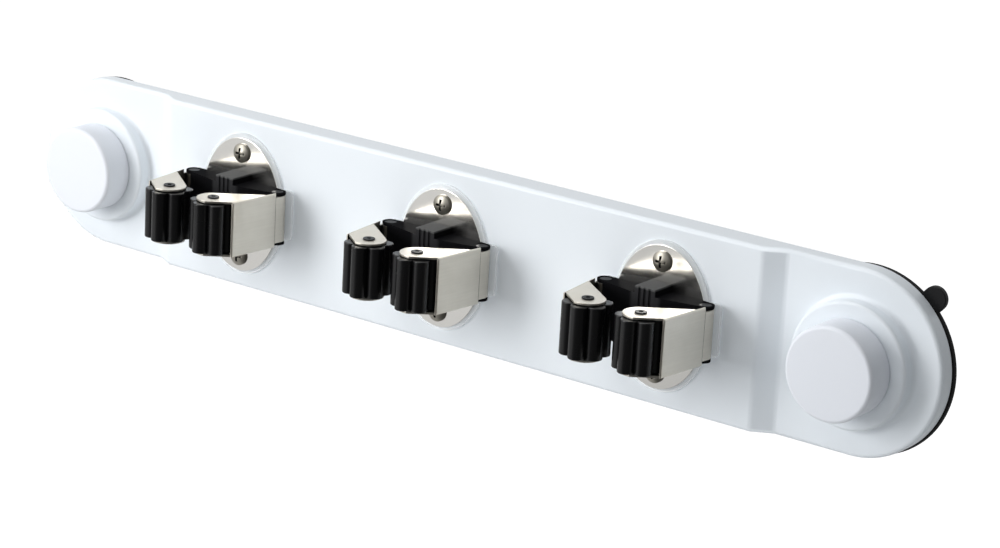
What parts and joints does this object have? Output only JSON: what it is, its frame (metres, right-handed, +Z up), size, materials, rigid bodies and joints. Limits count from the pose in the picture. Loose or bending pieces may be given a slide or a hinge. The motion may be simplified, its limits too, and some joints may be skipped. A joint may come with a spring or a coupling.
{
  "type": "wall mop holder rack",
  "caption": "Wall rack for mops and brooms: a round-ended panel on suction cups carries sprung roller clips that grip handles.",
  "frame": {"origin": "on the wall plane behind the middle of the panel", "axes": "+X along the rack to the right as seen from the front, +Y into the wall, +Z up"},
  "size_m": [0.492, 0.0636, 0.082],
  "materials": {
    "white_plastic": "glossy white moulding",
    "knob_plastic": "smooth white moulding",
    "black_rubber": "soft black rubber",
    "zinc_steel": "zinc plated",
    "brass_nut": "turned",
    "clear_plastic": "clear moulding",
    "mirror_steel": "polished stamping",
    "arm_steel": "polished bent sheet",
    "screw_steel": "plated, cross recess",
    "black_plastic": "satin black moulding",
    "black_roller": "firm black rubber, fluted",
    "pin_steel": "dark rivet pin",
    "spring_steel": "wound wire"
  },
  "bodies": {
    "rack": {"panel": "white_plastic", "left_suction_cup": "black_rubber", "left_knob_washer": "zinc_steel", "right_suction_cup": "black_rubber", "right_knob_washer": "zinc_steel", "left_clip_pad": "clear_plastic", "left_clip_plate": "mirror_steel", "left_clip_screws": "screw_steel", "left_clip_core": "black_plastic", "left_clip_core_rivets": "zinc_steel", "left_clip_hinge_pins": "zinc_steel", "left_clip_left_spring": "spring_steel", "left_clip_right_spring": "spring_steel", "middle_clip_pad": "clear_plastic", "middle_clip_plate": "mirror_steel", "middle_clip_screws": "screw_steel", "middle_clip_core": "black_plastic", "middle_clip_core_rivets": "zinc_steel", "middle_clip_hinge_pins": "zinc_steel", "middle_clip_left_spring": "spring_steel", "middle_clip_right_spring": "spring_steel", "right_clip_pad": "clear_plastic", "right_clip_plate": "mirror_steel", "right_clip_screws": "screw_steel", "right_clip_core": "black_plastic", "right_clip_core_rivets": "zinc_steel", "right_clip_hinge_pins": "zinc_steel", "right_clip_left_spring": "spring_steel", "right_clip_right_spring": "spring_steel"},
    "left_knob_body": {"left_knob": "knob_plastic", "left_knob_nut": "brass_nut"},
    "left_stud_body": {"left_cup_stud": "zinc_steel"},
    "right_knob_body": {"right_knob": "knob_plastic", "right_knob_nut": "brass_nut"},
    "right_stud_body": {"right_cup_stud": "zinc_steel"},
    "left_clip_left_arm_body": {"left_clip_left_arm": "arm_steel", "left_clip_left_roller_pin": "pin_steel"},
    "left_clip_left_roller_body": {"left_clip_left_roller": "black_roller"},
    "left_clip_right_arm_body": {"left_clip_right_arm": "arm_steel", "left_clip_right_roller_pin": "pin_steel"},
    "left_clip_right_roller_body": {"left_clip_right_roller": "black_roller"},
    "middle_clip_left_arm_body": {"middle_clip_left_arm": "arm_steel", "middle_clip_left_roller_pin": "pin_steel"},
    "middle_clip_left_roller_body": {"middle_clip_left_roller": "black_roller"},
    "middle_clip_right_arm_body": {"middle_clip_right_arm": "arm_steel", "middle_clip_right_roller_pin": "pin_steel"},
    "middle_clip_right_roller_body": {"middle_clip_right_roller": "black_roller"},
    "right_clip_left_arm_body": {"right_clip_left_arm": "arm_steel", "right_clip_left_roller_pin": "pin_steel"},
    "right_clip_left_roller_body": {"right_clip_left_roller": "black_roller"},
    "right_clip_right_arm_body": {"right_clip_right_arm": "arm_steel", "right_clip_right_roller_pin": "pin_steel"},
    "right_clip_right_roller_body": {"right_clip_right_roller": "black_roller"}
  },
  "joints": [
    {"name": "left_knob_turn", "type": "hinge", "parent": "rack", "child": "left_knob_body", "pos_m": [-0.205, -0.0178, 0], "axis": [0, 1, 0], "range_deg": [0, 360]},
    {"name": "left_stud_pull", "type": "slide", "parent": "rack", "child": "left_stud_body", "axis": [0, -1, 0], "range_m": [0, 0.00201], "deforming": ["left_suction_cup"]},
    {"name": "right_knob_turn", "type": "hinge", "parent": "rack", "child": "right_knob_body", "pos_m": [0.205, -0.0178, 0], "axis": [0, 1, 0], "range_deg": [0, 360]},
    {"name": "right_stud_pull", "type": "slide", "parent": "rack", "child": "right_stud_body", "axis": [0, -1, 0], "range_m": [0, 0.00201], "deforming": ["right_suction_cup"]},
    {"name": "left_clip_left_arm_swing", "type": "hinge", "parent": "rack", "child": "left_clip_left_arm_body", "pos_m": [-0.14, -0.0229, 0], "axis": [0, 0, -1], "range_deg": [0, 25], "stiffness_Nm_per_rad": 0.8, "springref_deg": -20.05, "deforming": ["left_clip_left_spring"]},
    {"name": "left_clip_left_roller_spin", "type": "hinge", "parent": "left_clip_left_arm_body", "child": "left_clip_left_roller_body", "pos_m": [-0.12812, -0.05295, 0], "axis": [0, 0, 1], "continuous": true},
    {"name": "left_clip_right_arm_swing", "type": "hinge", "parent": "rack", "child": "left_clip_right_arm_body", "pos_m": [-0.09, -0.0229, 0], "axis": [0, 0, 1], "range_deg": [0, 25], "stiffness_Nm_per_rad": 0.8, "springref_deg": -20.05, "deforming": ["left_clip_right_spring"]},
    {"name": "left_clip_right_roller_spin", "type": "hinge", "parent": "left_clip_right_arm_body", "child": "left_clip_right_roller_body", "pos_m": [-0.10188, -0.05295, 0], "axis": [0, 0, 1], "continuous": true},
    {"name": "middle_clip_left_arm_swing", "type": "hinge", "parent": "rack", "child": "middle_clip_left_arm_body", "pos_m": [-0.025, -0.0229, 0], "axis": [0, 0, -1], "range_deg": [0, 25], "stiffness_Nm_per_rad": 0.8, "springref_deg": -20.05, "deforming": ["middle_clip_left_spring"]},
    {"name": "middle_clip_left_roller_spin", "type": "hinge", "parent": "middle_clip_left_arm_body", "child": "middle_clip_left_roller_body", "pos_m": [-0.01312, -0.05295, 0], "axis": [0, 0, 1], "continuous": true},
    {"name": "middle_clip_right_arm_swing", "type": "hinge", "parent": "rack", "child": "middle_clip_right_arm_body", "pos_m": [0.025, -0.0229, 0], "axis": [0, 0, 1], "range_deg": [0, 25], "stiffness_Nm_per_rad": 0.8, "springref_deg": -20.05, "deforming": ["middle_clip_right_spring"]},
    {"name": "middle_clip_right_roller_spin", "type": "hinge", "parent": "middle_clip_right_arm_body", "child": "middle_clip_right_roller_body", "pos_m": [0.01312, -0.05295, 0], "axis": [0, 0, 1], "continuous": true},
    {"name": "right_clip_left_arm_swing", "type": "hinge", "parent": "rack", "child": "right_clip_left_arm_body", "pos_m": [0.09, -0.0229, 0], "axis": [0, 0, -1], "range_deg": [0, 25], "stiffness_Nm_per_rad": 0.8, "springref_deg": -20.05, "deforming": ["right_clip_left_spring"]},
    {"name": "right_clip_left_roller_spin", "type": "hinge", "parent": "right_clip_left_arm_body", "child": "right_clip_left_roller_body", "pos_m": [0.10188, -0.05295, 0], "axis": [0, 0, 1], "continuous": true},
    {"name": "right_clip_right_arm_swing", "type": "hinge", "parent": "rack", "child": "right_clip_right_arm_body", "pos_m": [0.14, -0.0229, 0], "axis": [0, 0, 1], "range_deg": [0, 25], "stiffness_Nm_per_rad": 0.8, "springref_deg": -20.05, "deforming": ["right_clip_right_spring"]},
    {"name": "right_clip_right_roller_spin", "type": "hinge", "parent": "right_clip_right_arm_body", "child": "right_clip_right_roller_body", "pos_m": [0.12812, -0.05295, 0], "axis": [0, 0, 1], "continuous": true}
  ],
  "couplings": [
    {"joint": "left_stud_pull", "follows": "left_knob_turn", "m_per_rad": 0.00031831},
    {"joint": "right_stud_pull", "follows": "right_knob_turn", "m_per_rad": 0.00031831}
  ]
}
